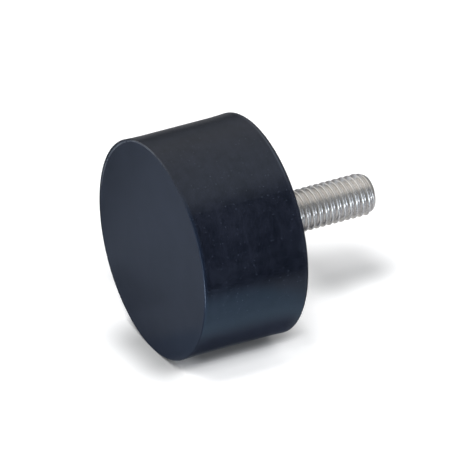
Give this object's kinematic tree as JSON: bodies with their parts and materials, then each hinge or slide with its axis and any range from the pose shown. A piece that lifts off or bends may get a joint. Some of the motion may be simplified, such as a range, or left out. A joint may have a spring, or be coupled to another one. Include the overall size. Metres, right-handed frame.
{
  "type": "rubber buffer",
  "caption": "Cylindrical rubber buffer moulded round a flush steel plate, with a threaded stud standing out of the mounting end.",
  "frame": {"origin": "centre of the free rubber face, which the buffer stands on", "axes": "+Z along the axis of the buffer, from the free face to the tip of the stud"},
  "size_m": [0.0406, 0.0406, 0.0438],
  "materials": {
    "rubber": "smooth moulded black rubber with a faint blue cast, matt",
    "plate_steel": "stainless sheet, fine grained",
    "stud_steel": "stainless steel with a rolled thread, satin"
  },
  "bodies": {
    "root": {"rubber_body": "rubber", "end_plate": "plate_steel", "threaded_stud": "stud_steel"}
  },
  "joints": []
}
